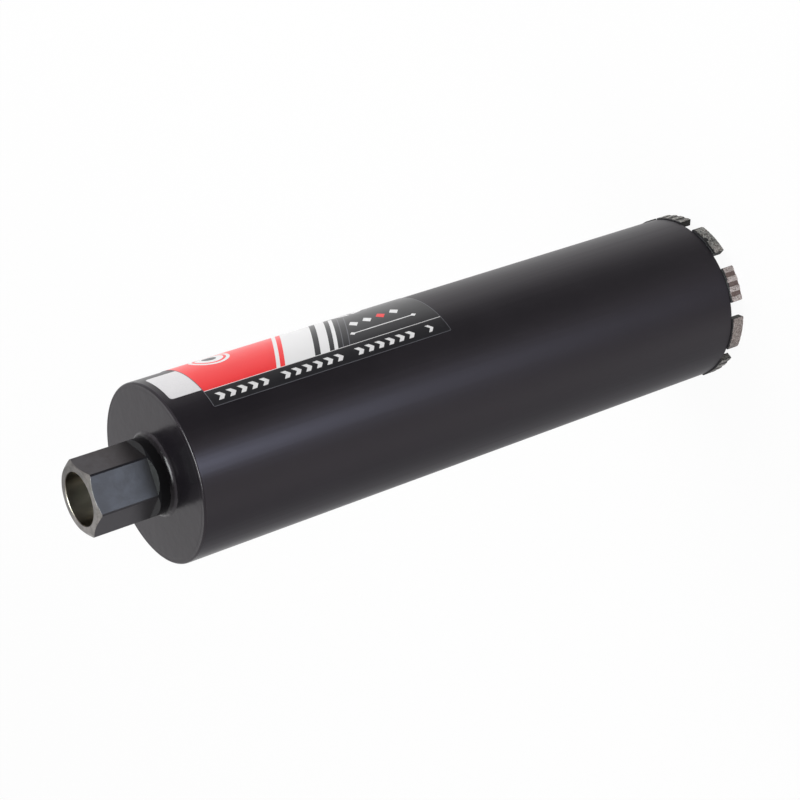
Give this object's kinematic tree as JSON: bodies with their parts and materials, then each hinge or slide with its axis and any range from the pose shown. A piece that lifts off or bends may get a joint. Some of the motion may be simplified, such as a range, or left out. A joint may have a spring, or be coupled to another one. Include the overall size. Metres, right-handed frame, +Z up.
{
  "type": "diamond core bit",
  "caption": "Segmented diamond core bit: black steel barrel with a label, a crown of sintered segments and a hexagonal hub with a threaded bore.",
  "frame": {"origin": "centre of the plane that the crown's segments cut in, on the barrel axis", "axes": "+Z up the barrel axis from the crown to the hub; -Y through the middle of segment_01 and one flat of the hub; the label faces +X"},
  "size_m": [0.1114, 0.112, 0.4693],
  "materials": {
    "black_paint": "satin black baked paint on steel",
    "hub_steel": "blackened steel with a bare machined end and bore",
    "sintered_segment": "bare sintered metal with grit, matte",
    "printed_label": "glossy printed film in black, red and white",
    "white_sticker": "plain white coated paper"
  },
  "bodies": {
    "root": {"barrel_tube": "black_paint", "end_plate": "black_paint", "plate_weld": "black_paint", "hub": "hub_steel", "hub_weld": "black_paint", "segment_01": "sintered_segment", "segment_02": "sintered_segment", "segment_03": "sintered_segment", "segment_04": "sintered_segment", "segment_05": "sintered_segment", "segment_06": "sintered_segment", "segment_07": "sintered_segment", "segment_08": "sintered_segment", "segment_09": "sintered_segment", "segment_10": "sintered_segment", "main_label": "printed_label", "size_sticker": "white_sticker"}
  },
  "joints": []
}
